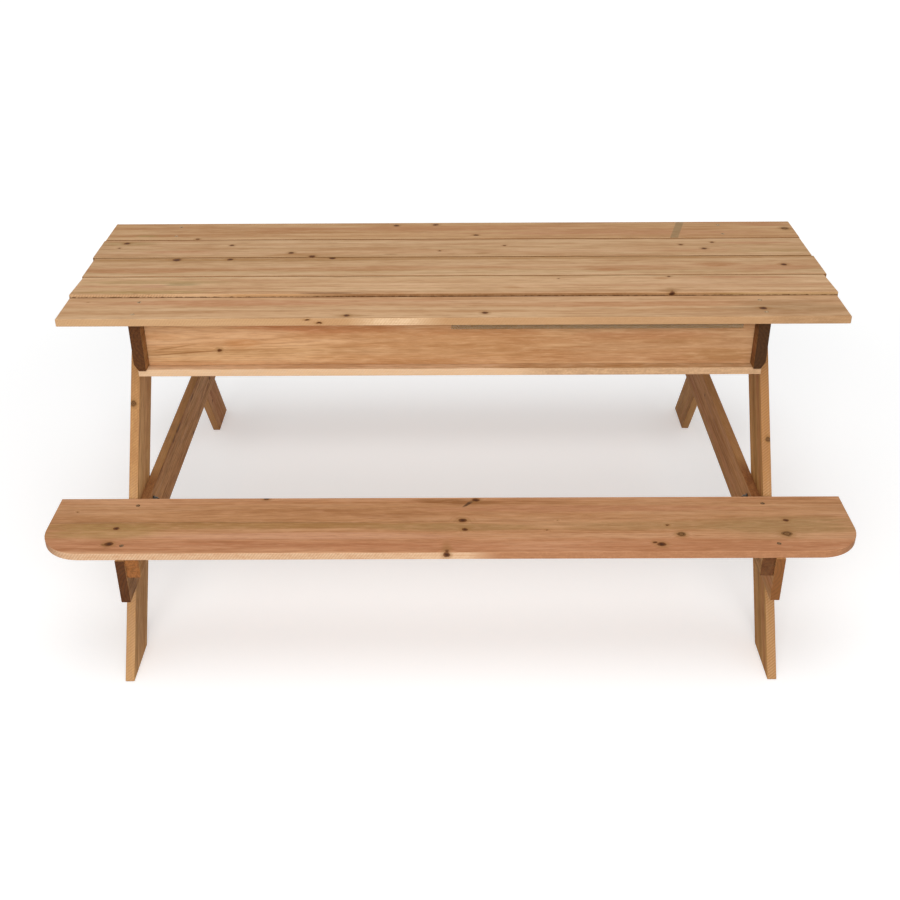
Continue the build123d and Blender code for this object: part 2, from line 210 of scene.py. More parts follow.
def softwoodBoard(nodeName, ownLook):
    look = dict(plainBoard, **ownLook)
    wood = look["wood"]
    seed = look["seed"]
    low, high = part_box(nodeName)
    middle = (low + high) / 2
    along = Vector(look["along"]).normalized()
    across = Vector(look["across"]).normalized()
    toBoard = Matrix((along, across, along.cross(across)))

    material, tree = newMaterial("sawnFir_" + nodeName)
    coords = addNode(tree, "ShaderNodeTexCoord")
    board = addNode(tree, "ShaderNodeMapping",
                    {"Location": -(toBoard @ middle), "Rotation": toBoard.to_euler()},
                    {"Vector": coords.outputs["Object"]}).outputs[0]

    # the rings stray a little along the board, and the rims of the knots are uneven
    stray = stretchedCloud(tree, "stray", seed, board)
    rim = addNode(tree, "ShaderNodeTexNoise", {"Scale": 1 / (softwood["rimSize"] * mm), "Detail": 2.5},
                  {"Vector": board})
    shifted = []
    for noise, amount in ((stray, softwood["wander"] * mm), (rim, softwood["ragged"] * mm)):
        centred = addNode(tree, "ShaderNodeVectorMath", {"operation": "SUBTRACT", 1: (0.5, 0.5, 0.5)},
                          {0: noise.outputs["Color"]})
        moved = addNode(tree, "ShaderNodeVectorMath",
                        {"operation": "MULTIPLY_ADD", 1: (amount, amount, amount)},
                        {0: centred.outputs[0], 2: board})
        shifted.append(moved.outputs[0])
    strayed, uneven = shifted

    depth = softwood["knotDepth"]
    nearestOf = []
    for face, edge in (("knots", "edgeKnots"), ("liveKnots", "liveEdgeKnots")):
        knots = [((u, v, 0), (r * knotLength[face], r, r * depth)) for u, v, r in look[face]]
        knots += [((u, v, w), (r * length, r * depth, r)) for u, v, w, r, length in look[edge]]
        nearestOf.append(nearestKnot(tree, knots, uneven))
    nearestLive = nearestOf[1]

    # growth rings round the pith, pushed aside by the knots
    pithV, pithW = look["pith"]
    tiltV, tiltW = look["tilt"]
    fromPith = addNode(tree, "ShaderNodeMapping", {
        "Location": (0, -pithV * mm, -pithW * mm), "Rotation": (0, math.radians(tiltW), math.radians(tiltV)),
    }, {"Vector": strayed})
    flat = addNode(tree, "ShaderNodeVectorMath", {"operation": "MULTIPLY", 1: (0, 1, 1)},
                   {0: fromPith.outputs[0]})
    radius = addNode(tree, "ShaderNodeVectorMath", {"operation": "LENGTH"}, {0: flat.outputs[0]})
    ring = addNode(tree, "ShaderNodeMath", {"operation": "DIVIDE", 1: softwood["ringWidth"] * mm},
                   {0: radius.outputs["Value"]}).outputs[0]
    for nearest in nearestOf:
        if nearest:
            push = addNode(tree, "ShaderNodeMapRange",
                           dict(softwood["knotPush"], interpolation_type="SMOOTHERSTEP"),
                           {"Value": nearest})
            ring = addNode(tree, "ShaderNodeMath", {"operation": "ADD"},
                           {0: ring, 1: push.outputs[0]}).outputs[0]

    # the patterns that the tones are laid on by
    part = addNode(tree, "ShaderNodeMath", {"operation": "FRACT"}, {0: ring})
    profile = [(place, (share, share, share, 1)) for place, share in softwood["ringProfile"]]
    lateWood = addNode(tree, "ShaderNodeValToRGB", {"stops": profile},
                       {"Fac": part.outputs[0]}).outputs["Color"]
    pattern = {"lateWood": lateWood}
    for name, (streaks, shift, start, detail, rough) in ringStreaks.items():
        place = addNode(tree, "ShaderNodeMath",
                        {"operation": "MULTIPLY_ADD", 1: streaks, 2: seed * shift + start}, {0: ring})
        noise = addNode(tree, "ShaderNodeTexNoise", {
            "noise_dimensions": "1D", "Scale": 1.0, "Detail": detail, "Roughness": rough,
        }, {"W": place.outputs[0]})
        pattern[name] = noise.outputs[0]
    for name in ("blotch", "fibre", "grain", "smudge"):
        pattern[name] = stretchedCloud(tree, name, seed, strayed).outputs[0]

    # streaks of colour along the rings, broken up along the length
    weights = softwood["streaks"]
    tone = addNode(tree, "ShaderNodeMath",
                   {"operation": "MULTIPLY_ADD", 1: weights["blotch"], 2: weights["shift"]},
                   {0: pattern["blotch"]})
    streak = addNode(tree, "ShaderNodeMath", {"operation": "MULTIPLY_ADD", 1: weights["band"]},
                     {0: pattern["band"], 2: tone.outputs[0]})
    bodyTones = [linear(wood[name]) for name in ("deep", "mid", "pale")]
    body = addNode(tree, "ShaderNodeValToRGB", {"stops": list(zip(softwood["bodyStops"], bodyTones))},
                   {"Fac": streak.outputs[0]})
    colour = body.outputs["Color"]

    # tone and mask of all that lies over the body colour, in order
    layers = markLayers(tree, underMarks, wood, pattern)

    # stains and heartwood patches with frayed rims
    for u, v, halfU, halfV, stain, strength, turn in look["stains"]:
        angle = math.radians(turn)
        place = Matrix.Rotation(angle, 3, "Z") @ Vector((u * mm, v * mm, 0))
        centre = addNode(tree, "ShaderNodeMapping", {"Location": -place, "Rotation": (0, 0, angle)},
                         {"Vector": strayed})
        sized = addNode(tree, "ShaderNodeVectorMath", {
            "operation": "MULTIPLY", 1: (1 / (halfU * mm), 1 / (halfV * mm), 0),
        }, {0: centre.outputs[0]})
        reach = addNode(tree, "ShaderNodeVectorMath", {"operation": "LENGTH"}, {0: sized.outputs[0]})
        frayed = addNode(tree, "ShaderNodeMath",
                         {"operation": "MULTIPLY_ADD", 1: stainFray[0], 2: stainFray[1]},
                         {0: pattern["blotch"]})
        rimReach = addNode(tree, "ShaderNodeMath", {"operation": "ADD"},
                           {0: reach.outputs["Value"], 1: frayed.outputs[0]})
        mask = addNode(tree, "ShaderNodeMapRange", dict(stainRim, **{
            "interpolation_type": "SMOOTHSTEP", "To Max": strength,
        }), {"Value": rimReach.outputs[0]})
        layers.append((stain, mask.outputs[0]))

    # crisp stripes, such as where a stick or another board lay
    for axis, place, lean, halfWidth, stripe, strength in look["stripes"]:
        axes = addNode(tree, "ShaderNodeSeparateXYZ", {}, {0: board})
        lined = addNode(tree, "ShaderNodeMath", {"operation": "MULTIPLY_ADD", 1: -lean},
                        {0: axes.outputs[1 - axis], 2: axes.outputs[axis]})
        mask = stretchMask(tree, lined.outputs[0], place, halfWidth - stripeFade, halfWidth + stripeFade,
                           strength)
        layers.append((stripe, mask))

    layers += markLayers(tree, overMarks, wood, pattern)

    # narrow faces are sawn, ends are cut across the grain
    dots, facing = {}, {}
    for name, direction, start, full in (("edge", across, 0.55, 0.9), ("end", along, 0.35, 0.85)):
        dot = addNode(tree, "ShaderNodeVectorMath", {"operation": "DOT_PRODUCT", 1: direction},
                      {0: coords.outputs["Normal"]})
        dots[name] = dot.outputs["Value"]
        size = addNode(tree, "ShaderNodeMath", {"operation": "ABSOLUTE"}, {0: dots[name]})
        facing[name] = addNode(tree, "ShaderNodeMapRange", {"From Min": start, "From Max": full},
                               {"Value": size.outputs[0]}).outputs[0]

    slant = math.atan(softwood["sawSlant"])
    sawPlace = addNode(tree, "ShaderNodeMapping", {"Rotation": (0, slant, 0)}, {"Vector": board})
    sawScale = waveLength / (softwood["sawPitch"] * mm * math.cos(slant))
    saw = addNode(tree, "ShaderNodeTexWave", {
        "Scale": sawScale, "Distortion": softwood["sawWaver"], "Detail": 1.0, "Detail Scale": 0.3,
    }, {"Vector": sawPlace.outputs[0]})
    sawHere = addNode(tree, "ShaderNodeMath", {"operation": "MULTIPLY"},
                      {0: saw.outputs["Fac"], 1: facing["edge"]}).outputs[0]
    boardAxes = addNode(tree, "ShaderNodeSeparateXYZ", {}, {0: uneven})
    if "sawSpan" in look:    # the marks show over a part of the length only
        middleU, halfU = look["sawSpan"]
        span = stretchMask(tree, boardAxes.outputs[0], middleU, halfU * sawFade[0], halfU * sawFade[1])
        sawHere = addNode(tree, "ShaderNodeMath", {"operation": "MULTIPLY"},
                          {0: sawHere, 1: span}).outputs[0]
    # the sawn edges turn paler towards the edge tone; on the lid and rear planks that tone is a painted
    # shade, as their front edges lie in the gaps
    paler = addNode(tree, "ShaderNodeMath", {"operation": "MULTIPLY", 1: look["edgePale"]},
                    {0: facing["edge"]})
    layers.append((look.get("edgeToneAndGapShade", wood["sawn"]), paler.outputs[0]))
    for middleU, halfU, stain, strength in look["edgeStains"]:
        span = stretchMask(tree, boardAxes.outputs[0], middleU, halfU - edgeStainFade, halfU + edgeStainFade,
                           strength)
        mask = addNode(tree, "ShaderNodeMath", {"operation": "MULTIPLY"}, {0: span, 1: facing["edge"]})
        layers.append((stain, mask.outputs[0]))

    # a mottled bloom keeps the sawn edges from looking flat
    grit = addNode(tree, "ShaderNodeTexNoise", {"Scale": 1 / (softwood["gritSize"] * mm), "Detail": 2.0},
                   {"Vector": board})
    mixed = addNode(tree, "ShaderNodeMath", {"operation": "MULTIPLY_ADD", 1: softwood["gritWeight"]},
                    {0: grit.outputs[0], 2: pattern["grain"]})
    mottle = addNode(tree, "ShaderNodeMapRange",
                     {"From Min": 0.7, "From Max": 1.0, "To Max": look["mottle"]},
                     {"Value": mixed.outputs[0]})
    mottleHere = addNode(tree, "ShaderNodeMath", {"operation": "MULTIPLY"},
                         {0: mottle.outputs[0], 1: facing["edge"]})
    sawShade = addNode(tree, "ShaderNodeMath", {"operation": "MULTIPLY", 1: look["sawMarks"]}, {0: sawHere})
    layers += [(wood["mid"], mottleHere.outputs[0]), (wood["late"], sawShade.outputs[0])]
    if "seamTone" in look:    # the front edge lies in the shade of a narrow gap
        inGap = addNode(tree, "ShaderNodeMapRange", seamFacing, {"Value": dots["edge"]})
        below = addNode(tree, "ShaderNodeMapRange", {
            "From Min": (look["seamTop"] + seamFade) * mm, "From Max": (look["seamTop"] - seamFade) * mm,
        }, {"Value": boardAxes.outputs[2]})
        shaded = addNode(tree, "ShaderNodeMath", {"operation": "MULTIPLY"},
                         {0: inGap.outputs[0], 1: below.outputs[0]})
        layers.append((look["seamTone"], shaded.outputs[0]))

    # end grain: two rings drawn as one, to show
    pairs = addNode(tree, "ShaderNodeMath", {"operation": "PINGPONG", 1: 1.0}, {0: ring})
    endRings = addNode(tree, "ShaderNodeMapRange",
                       {"From Min": 0.45, "From Max": 0.95, "To Max": look["endRings"]},
                       {"Value": pairs.outputs[0]})
    endGrain = addNode(tree, "ShaderNodeMix",
                       {"data_type": "RGBA", 6: linear(wood["end"]), 7: linear(wood["endRing"])},
                       {0: endRings.outputs[0]})
    endFleck = addNode(tree, "ShaderNodeMapRange",
                       {"From Min": 0.44, "From Max": 0.62, "To Max": look["endFleck"]},
                       {"Value": grit.outputs[0]})
    endTone = addNode(tree, "ShaderNodeMix", {"data_type": "RGBA", 7: linear(wood["late"])},
                      {0: endFleck.outputs[0], 6: endGrain.outputs[2]})
    endShare = addNode(tree, "ShaderNodeMath", {"operation": "MULTIPLY", 1: look["endDark"]},
                       {0: facing["end"]})
    layers.append((endTone.outputs[2], endShare.outputs[0]))

    knotTones = dict(knotColours)
    if nearestLive:    # a living knot keeps its own rings
        turns = addNode(tree, "ShaderNodeMath", {"operation": "MULTIPLY", 1: liveKnotTurns},
                        {0: nearestLive})
        wave = addNode(tree, "ShaderNodeMath", {"operation": "SINE"}, {0: turns.outputs[0]})
        rings = addNode(tree, "ShaderNodeMapRange", {"From Min": -1.0}, {"Value": wave.outputs[0]})
        ringTone = addNode(tree, "ShaderNodeMix", {
            "data_type": "RGBA", 6: linear(knotColours["heart"]), 7: linear(knotColours["ring"]),
        }, {0: rings.outputs[0]})
        knotTones["rings"] = ringTone.outputs[2]
    for nearest, marks in zip(nearestOf, (deadKnotMarks, liveKnotMarks)):
        for tone, start, full, strength in marks if nearest else []:
            mask = addNode(tree, "ShaderNodeMapRange", {
                "interpolation_type": "SMOOTHSTEP", "From Min": start, "From Max": full, "To Max": strength,
            }, {"Value": nearest})
            layers.append((knotTones[tone], mask.outputs[0]))

    for tone, mask in layers:
        settings = {"data_type": "RGBA"}
        links = {0: mask, 6: colour}
        if isinstance(tone, str):
            settings[7] = linear(tone)
        else:
            links[7] = tone
        colour = addNode(tree, "ShaderNodeMix", settings, links).outputs[2]

    # raised late wood, fibres and saw marks
    raised = softwood["reliefWeights"]
    height = addNode(tree, "ShaderNodeMath", {"operation": "MULTIPLY_ADD", 1: raised["late"]},
                     {0: lateWood, 2: pattern["fibre"]})
    height = addNode(tree, "ShaderNodeMath", {"operation": "MULTIPLY_ADD", 1: raised["saw"]},
                     {0: sawHere, 2: height.outputs[0]})
    bump = addNode(tree, "ShaderNodeBump",
                   {"Strength": softwood["relief"], "Distance": softwood["reliefDepth"] * mm},
                   {"Height": height.outputs[0]})
    smooth, coarse = softwood["roughness"]
    rough = addNode(tree, "ShaderNodeMapRange",
                    {"From Min": 0.3, "From Max": 0.7, "To Min": smooth, "To Max": coarse},
                    {"Value": pattern["fibre"]})
    shader = addNode(tree, "ShaderNodeBsdfPrincipled",
                     {"IOR": 1.5, "Specular IOR Level": softwood["specular"]},
                     {"Base Color": colour, "Roughness": rough.outputs[0], "Normal": bump.outputs[0]})
    addNode(tree, "ShaderNodeOutputMaterial", {}, {"Surface": shader.outputs[0]})
    giveMaterial(nodeName, material)


# boards of the top
rearPlank = {
    "wood": dict(topWood, deep="#B08157", mid="#C09569", pale="#CDA67C"),
    "seed": 1.3, "pith": (70, -45), "tilt": (0.6, 0.2),
    # its front edge lies in a gap: the edge tone here is a painted shade
    "edgePale": 0.6, "edgeToneAndGapShade": "#8E6640", "seamTone": "#7A4E26",
    "knots": [(-100, 26, 4.4), (-30, 30, 4.4), (41, -24, 4.0), (-444, -38, 3.4)],
    "liveKnots": [(588, 4, 6.4)],
    "stripes": [(0, 397, 0.287, 6.8, "#8E7450", 0.85)],
    "stains": [(-380, 0, 240, 50, "#A06C42", 0.35, 0), (-535, -22, 22, 5, "#94804A", 0.6, 0),
               (-240, 8, 50, 6, "#A87A48", 0.5, 0), (250, -14, 330, 12, "#B27C58", 0.6, 0),
               (-60, 10, 380, 16, "#AE7850", 0.55, 0), (560, 24, 60, 9, "#B07A56", 0.6, 0)],
}
softwoodBoard("top_plank_rear", rearPlank)
rearLidPlank = {
    "wood": topWood, "seed": 4.7, "pith": (-95, -30), "tilt": (-0.4, 0.3),
    # its front edge lies in a gap: the edge tone here is a painted shade
    "edgePale": 0.55, "edgeToneAndGapShade": "#9A7048", "seamTone": "#74502A",
    "knots": [(-561, 26, 4.8), (-569, 3, 2.6), (-378, 15, 3.4), (-272, -22, 4.4), (-235, -38, 5.0),
              (90, 9, 2.8), (-21, -15, 2.4), (392, 10, 3.4), (448, 21, 3.2), (429, -9, 4.4)],
    "stains": [(-470, -16, 110, 12, "#B57E58", 0.6, 0), (-560, 24, 50, 9, "#9A7E4E", 0.5, 0),
               (-104, -30, 16, 6, "#9A7044", 0.6, 0), (52, -27, 16, 5, "#9A7044", 0.6, 0),
               (520, 18, 90, 7, "#B07A54", 0.55, 0), (-255, -30, 60, 9, "#A67A4C", 0.6, 0),
               (540, -20, 80, 14, "#A98A5C", 0.5, 0)],
}
softwoodBoard("lid_plank_rear", rearLidPlank)
middleLidPlank = {
    "wood": topWood, "seed": 8.2, "pith": (60, -70), "tilt": (0.3, -0.5),
    # its front edge lies in a gap: the edge tone here is a painted shade
    "edgePale": 0.55, "edgeToneAndGapShade": "#9A7048", "seamTone": "#80562F",
    "knots": [(-463, 32, 6.0), (-374, 33, 4.6), (-203, 37, 4.6), (543, 1, 4.6)],
    "stripes": [(1, 34.8, 0.004, 6.0, "#A57A4C", 0.8)],
    "stains": [(-330, 28, 290, 6, "#98794C", 0.4, 0), (430, -1, 48, 15, "#A9764C", 0.7, 0),
               (251, -21, 26, 8, "#A9744A", 0.65, 0), (-500, -22, 110, 7, "#B37E56", 0.55, 0),
               (520, -14, 90, 12, "#B27C58", 0.5, 0)],
}
softwoodBoard("lid_plank_middle", middleLidPlank)
frontLidPlank = {
    "wood": dict(topWood, deep="#BD9067", mid="#CDA67C", pale="#DBB58D"),
    "seed": 2.9, "pith": (-120, -40), "tilt": (0.2, 0.3),
    "edgePale": 0.85, "mottle": 0.2, "sawMarks": 0.5, "sawSpan": (-550, 110),
    "seamTone": "#5A3416", "seamTop": 3.6,
    "knots": [(169, 27, 2.0), (347, 34, 2.8), (-498, -35, 1.5)],
    "edgeKnots": [(340, -41, 5.5, 3.2, 1.6)],
    # the edge stains at 110 and 60 darken the middle of the front edge: painted shade of the gap in front of
    # it
    "edgeStains": [(-290, 70, "#B4824E", 0.6), (110, 335, "#96683C", 0.8), (60, 230, "#7A4E28", 0.5),
                   (520, 110, "#A27E4C", 0.6)],
    "stains": [(430, 0, 220, 50, "#B48660", 0.3, 0), (-433, 7, 36, 9, "#958257", 0.6, 0),
               (-480, 16, 130, 9, "#A98C5C", 0.55, 0), (-475, 0, 26, 8, "#C09070", 0.5, 0),
               (334, 25, 16, 6, "#A97848", 0.6, 0), (91, -11, 18, 8, "#AE8052", 0.6, 0),
               (480, 30, 110, 8, "#B27C56", 0.55, 0), (-490, -30, 100, 8, "#A28850", 0.5, 0),
               (340, -30, 24, 10, "#A0744A", 0.6, 0), (-190, -38, 60, 5, "#7A5230", 0.7, 0)],
}
softwoodBoard("lid_plank_front", frontLidPlank)
frontPlank = {
    "wood": dict(topWood, deep="#B4885E", mid="#C49B72", pale="#D0AB84", lateShare=0.16),
    "seed": 6.1, "pith": (55, -60), "tilt": (-0.5, 0.4),
    "edgePale": 0.7, "edgeToneAndGapShade": "#C29A6E", "sawMarks": 0.12,
    "knots": [(-160, -30, 4.2), (48, -22, 4.4), (471, -9, 5.2), (-563, 25, 1.6), (155, 3, 1.4)],
    "edgeKnots": [(-219, -40, 4, 1.3, 3.0), (-201, -40, -1, 1.6, 2.6)],
    "edgeStains": [(-190, 45, "#B4865A", 0.5), (-84, 48, "#E4C49E", 0.85), (60, 100, "#B0845A", 0.45),
                   (400, 220, "#AE845C", 0.55), (545, 60, "#A07C58", 0.6)],
    "stains": [(-340, 20, 190, 14, "#B57E58", 0.65, 0), (-90, 26, 160, 8, "#B8845E", 0.55, 0),
               (330, 8, 240, 12, "#B58058", 0.5, 0), (510, -8, 110, 32, "#9E7A54", 0.65, 0),
               (420, -29, 220, 13, "#A67A52", 0.6, 0), (-220, -24, 240, 13, "#CCA47C", 0.55, 0),
               (-150, -30, 30, 6, "#9A7040", 0.65, 0)],
}
softwoodBoard("top_plank_front", frontPlank)
print("top planks and lid finished")

# benches
frontBench = {
    "wood": benchWood, "seed": 3.4, "pith": (20, -95), "tilt": (0.2, 0.2),
    "edgePale": 0.55, "edgeToneAndGapShade": "#C08F6A", "sawMarks": 0.3, "sawSpan": (-370, 330), "endDark": 0.45,
    "knots": [(-499, -9, 4.2), (-500, -49.5, 5.4), (-569, 37, 1.8), (-285, 72, 4.0), (40, 66, 5.0),
              (19, 10, 5.4), (22, -15, 4.2), (162, 9, 1.6), (144, -17, 2.0), (309, -55, 5.6),
              (300, -50, 3.0), (325, -5, 2.6), (505, 7, 3.8)],
    "liveKnots": [(342, -29, 6.0), (498, -29, 7.0)],
    "edgeKnots": [(-5, -74, 2.0, 4.6, 1.1)],
    "edgeStains": [(-280, 330, "#DCB995", 0.85), (330, 280, "#9C6844", 0.75)],
    "stains": [(-506, -53, 7, 3.2, "#6E4222", 0.85, 20), (-310, -4, 430, 11, "#98723F", 0.65, 0),
               (340, -56, 240, 22, "#AE754E", 0.4, 0), (-250, 6, 520, 1.6, "#8A6640", 0.6, 0),
               (330, -4, 330, 14, "#A27E52", 0.6, 0), (500, -14, 130, 30, "#A07E52", 0.65, 0),
               (0, -8, 160, 12, "#A27E52", 0.6, 0), (0, 62, 70, 9, "#8A5A30", 0.8, 4),
               (28, 56, 3.2, 15, "#3E2818", 0.9, 38), (-500, -20, 100, 20, "#A58450", 0.6, 0),
               (-250, -30, 260, 12, "#CA9878", 0.6, 0), (250, 40, 300, 12, "#B98260", 0.5, 0)],
}
softwoodBoard("bench_front", frontBench)
rearBench = {
    "wood": benchWood, "seed": 7.7, "pith": (-30, -80), "tilt": (-0.3, 0.3),
    "edgePale": 0.6, "sawMarks": 0.6, "endDark": 0.45,
    "knots": [(-420, 30, 5.0), (-180, -40, 3.6), (120, 44, 3.2), (388, -18, 4.6), (520, 40, 3.6)],
    "liveKnots": [(95, 22, 6.5)],
    "stains": [(-200, -12, 380, 15, "#947849", 0.65, 0), (350, 20, 260, 12, "#9A7C4E", 0.6, 0)],
}
softwoodBoard("bench_rear", rearBench)
print("benches finished")

# boards of the box under the top
upward = (0, 0, 1)
frontApron = {
    "wood": dict(frameWood, deep="#BC8E60", mid="#CFA274", pale="#DAB186", lateShare=0.3, fleckShare=0.7),
    "seed": 5.2, "across": upward, "pith": (6, -26), "tilt": (0.5, -1.1), "sawMarks": 0.1,
    "knots": [(-357, -14, 3.2)],
    "stains": [(-320, -2, 34, 8, "#B8804E", 0.7, 0), (-170, 24, 170, 13, "#B4744A", 0.75, 0),
               (60, 18, 150, 14, "#BC8054", 0.5, 0), (300, 10, 150, 10, "#B87C54", 0.5, 0),
               (420, -24, 60, 12, "#A5804C", 0.5, 0), (330, -4, 40, 4, "#94683A", 0.5, 0),
               (340, 0, 260, 70, "#A4724A", 0.55, 0), (0, 0, 240, 70, "#AC784A", 0.55, 0),
               (-411, -18, 62, 1.3, "#8A5E34", 0.7, -4), (-425, -8, 46, 1.1, "#94683A", 0.6, -9)],
}
softwoodBoard("apron_front", frontApron)
rearApron = {
    "wood": frameWood,
    "seed": 9.6, "across": upward, "pith": (-10, 30), "tilt": (-0.4, 0.9), "sawMarks": 0.1,
    "knots": [(210, 12, 4.0), (-90, -20, 3.0)],
}
softwoodBoard("apron_rear", rearApron)
# the floor boards are drawn paler than the frame wood: painted light on the ledge in front of the apron,
# which lies under the top's overhang
floorBoard = {
    "wood": dict(frameWood, deep="#CFA276", mid="#E0B88E", pale="#EAC9A4"), "tilt": (0.3, 0.2),
    "edgePale": 0.8, "edgeToneAndGapShade": "#DCBA96", "sawMarks": 0.06, "mottle": 0.6,
    "edgeStains": [(330, 200, "#A87F58", 0.6)],
    "stains": [(330, 0, 330, 120, "#B48654", 0.75, 0)],
}
for number in range(1, 5):    # each board is cut from another place of the log
    cut = {"seed": 10.4 + 1.9 * number, "pith": (40 - 25 * number, -50 - 8 * number),
           "knots": [(-390 + 170 * number, 18 - 9 * number, 4.0)]}
    softwoodBoard("floor_board_%d" % number, dict(floorBoard, **cut))
print("box finished")

# end frames: rails run front to rear
rearward = (0, 1, 0)
# the top rails are darker than the legs: their end grain is dark, and the rest is painted shade under the
# top
topRail = {
    "wood": dict(legWood, deep="#8A5E34", mid="#A27546", pale="#B08654", late="#6E4620", end="#522E12",
                 endRing="#301A0A"),
    "along": rearward, "across": upward, "pith": (8, 30), "endDark": 1.0, "endRings": 0.4,
}
leftTopRail = dict(topRail, seed=14.1, knots=[(60, 12, 4.0)])
softwoodBoard("top_rail_left", leftTopRail)
rightTopRail = dict(topRail, seed=15.7, pith=(-12, -34), knots=[(-80, -14, 4.5)])
# the right rail is darker still: painted shade on its inner face under the top
rightTopRail["wood"] = dict(topRail["wood"], deep="#6E4626", mid="#82562F", pale="#92663A", late="#54361A",
                            end="#42270F", endRing="#281406")
softwoodBoard("top_rail_right", rightTopRail)
benchRail = {"along": rearward, "across": upward, "pith": (-20, 40), "endDark": 0.95}
leftBenchRail = dict(benchRail, seed=16.3, **{
    "wood": dict(legWood, deep="#9C6838", mid="#B6804E", pale="#C4905C", late="#4C2A10", end="#50290C",
                 endRing="#2E1506"),
    "knots": [(70, -35, 5.0), (250, -12, 4.0)],
    # the edge stain near the front darkens the top edge by the leg: painted shade
    "edgeStains": [(-255, 60, "#6E3C1C", 0.7)],
    # a thin pale line along the inner face
    "stripes": [(1, 16, 0.0, 0.7, "#B8926C", 0.5)],
    # the stain at -415 is painted shade of the cleat on the rail's inner face near its front end
    "stains": [(-35, 34, 22, 5, "#4E3218", 0.75, 0), (-72, 34, 16, 5, "#4E3218", 0.65, 0),
               (90, 31, 20, 4, "#4E3218", 0.7, 0), (-415, -16, 40, 36, "#583818", 0.6, 0)],
})
softwoodBoard("bench_rail_left", leftBenchRail)
rightBenchRail = dict(benchRail, seed=17.9, **{
    "wood": dict(legWood, deep="#946034", mid="#AE7847", pale="#BC8856", end="#7E4E28", endRing="#63401F"),
    "pith": (16, -36), "knots": [(120, 14, 3.4), (-260, 14, 4.0)],
    # the edge stain near the front darkens the top edge by the leg: painted shade
    "edgeStains": [(-235, 70, "#6A381A", 0.85)],
})
softwoodBoard("bench_rail_right", rightBenchRail)

# the legs lean to the middle
legLean = math.radians(34.87)    # from upright
leanSide, leanUp = math.sin(legLean), math.cos(legLean)
leg = {"wood": legWood, "sawMarks": 0.42, "edgePale": 0.7, "edgeToneAndGapShade": "#BC8F60",
       "edgeStains": [(110, 120, "#A06E40", 0.5)]}
frontLeg = dict(leg, along=(0, leanSide, leanUp), across=(0, -leanUp, leanSide))
rearLeg = dict(leg, along=(0, -leanSide, leanUp), across=(0, leanUp, leanSide))
leftFrontLeg = dict(frontLeg, seed=18.6, **{
    "wood": dict(legWood, deep="#B4844E", mid="#CE9F66", pale="#DAAF7A", roseShare=0.2),
    "pith": (30, -50), "sawMarks": 0.24, "edgeToneAndGapShade": "#BC9168", "edgeStains": [(110, 120, "#A06C38", 0.5)],
    "knots": [(-90, -14, 4.0)], "liveEdgeKnots": [(106, 36, -2.3, 4.6, 1.1)],
    "stains": [(-200, 0, 130, 60, "#7E501E", 0.4, 0), (130, 0, 140, 60, "#C09060", 0.4, 0)],
})
softwoodBoard("leg_front_left", leftFrontLeg)
rightFrontLeg = dict(frontLeg, seed=19.8, **{
    "wood": dict(legWood, deep="#9A6634", mid="#B68247", pale="#C39458"),
    "pith": (-40, 45), "edgeToneAndGapShade": "#BC926A",
    "knots": [(-150, 10, 4.0)], "liveEdgeKnots": [(46, 36, 3.2, 4.0, 1.1)],
})
softwoodBoard("leg_front_right", rightFrontLeg)
leftRearLeg = dict(rearLeg, seed=21.2, pith=(50, 40), knots=[(40, 12, 4.0), (-180, -16, 3.4)])
leftRearLeg["wood"] = dict(legWood, deep="#A0623A", mid="#B97E4E", pale="#C58E5E")
softwoodBoard("leg_rear_left", leftRearLeg)
rightRearLeg = dict(rearLeg, seed=22.5, pith=(-45, -40), knots=[(-30, -14, 4.0)])
softwoodBoard("leg_rear_right", rightRearLeg)
print("end frames finished")

# battens under the lid and cleats under the benches
batten = {"wood": frameWood, "along": rearward, "across": (1, 0, 0), "pith": (24, 40)}
softwoodBoard("lid_batten_left", dict(batten, seed=24.1, knots=[(40, 12, 4.0)]))
softwoodBoard("lid_batten_right", dict(batten, seed=25.6, knots=[(-66, -10, 4.0)]))
cleat = {"along": rearward, "across": upward, "pith": (-18, 22), "endDark": 0.9, "endRings": 0.25,
         "endFleck": 0.6}
cleatEnds = {    # end grain and its rings
    "front_left": ("#965C2E", "#5E3416"), "front_right": ("#5C3216", "#3E200E"),
    "rear_left": ("#8A5A30", "#5A3618"), "rear_right": ("#A06C3C", "#6A4220"),
}
for number, (corner, (end, ring)) in enumerate(cleatEnds.items()):
    cleatWood = dict(legWood, end=end, endRing=ring, late=ring)
    softwoodBoard("cleat_" + corner, dict(cleat, wood=cleatWood, seed=27.0 + 1.3 * number))
print("battens and cleats finished")

# zinc-plated steel, formed cold: warm grey metal with cloudy dull patches, drawn dark: partly dull zinc,
# partly painted shade, as the bolts and nuts sit in shade
zincPlate = {"bright": "#5E5951", "dull": "#322D28", "cloud": 3.5,
             "roughness": (0.30, 0.55), "relief": (0.15, 0.1),
             "nodes": ("bench_rail_bolts", "top_rail_bolts", "bolt_nuts", "bolt_washers")}
material, tree = newMaterial("zincPlatedSteelColdFormed")
coords = addNode(tree, "ShaderNodeTexCoord")
cloud = addNode(tree, "ShaderNodeTexNoise",
                {"Scale": 1 / (zincPlate["cloud"] * mm), "Detail": 4.0, "Roughness": 0.6},
                {"Vector": coords.outputs["Object"]})
tone = addNode(tree, "ShaderNodeMix",
               {"data_type": "RGBA", 6: linear(zincPlate["bright"]), 7: linear(zincPlate["dull"])},
               {0: cloud.outputs[0]})
smooth, coarse = zincPlate["roughness"]
rough = addNode(tree, "ShaderNodeMapRange",
                {"From Min": 0.3, "From Max": 0.7, "To Min": smooth, "To Max": coarse},
                {"Value": cloud.outputs[0]})
strength, depth = zincPlate["relief"]
